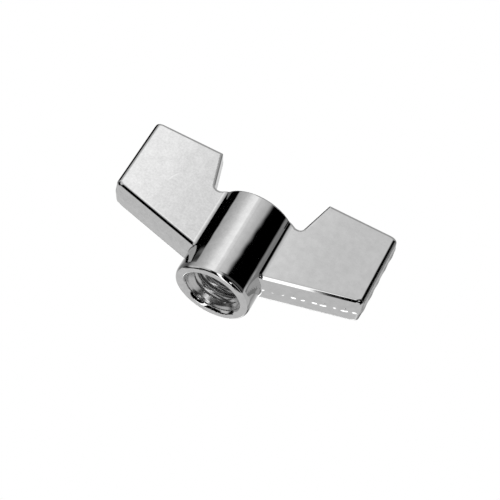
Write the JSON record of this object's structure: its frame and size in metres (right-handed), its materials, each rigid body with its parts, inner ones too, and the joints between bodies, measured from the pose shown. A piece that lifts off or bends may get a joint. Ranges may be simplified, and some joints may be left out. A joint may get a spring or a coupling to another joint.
{
  "type": "wing nut",
  "caption": "Die-cast wing nut: a round threaded boss between flat angular wings, turned by hand on a bolt or stud.",
  "frame": {"origin": "centre of the seat face, which is the flat lower end of the boss, on the thread axis", "axes": "+Z along the thread axis from the seat face toward the wing tips; X along the span of the wings; Y across the thickness of the wings"},
  "size_m": [0.0412, 0.012, 0.0211],
  "materials": {
    "plated_casting": "bright nickel-chrome plating on zinc die casting, smooth with faint casting ripple",
    "bush_steel": "turned and tapped steel, plated together with the casting"
  },
  "bodies": {
    "root": {"wing_body": "plated_casting", "threaded_insert": "bush_steel"}
  },
  "joints": []
}
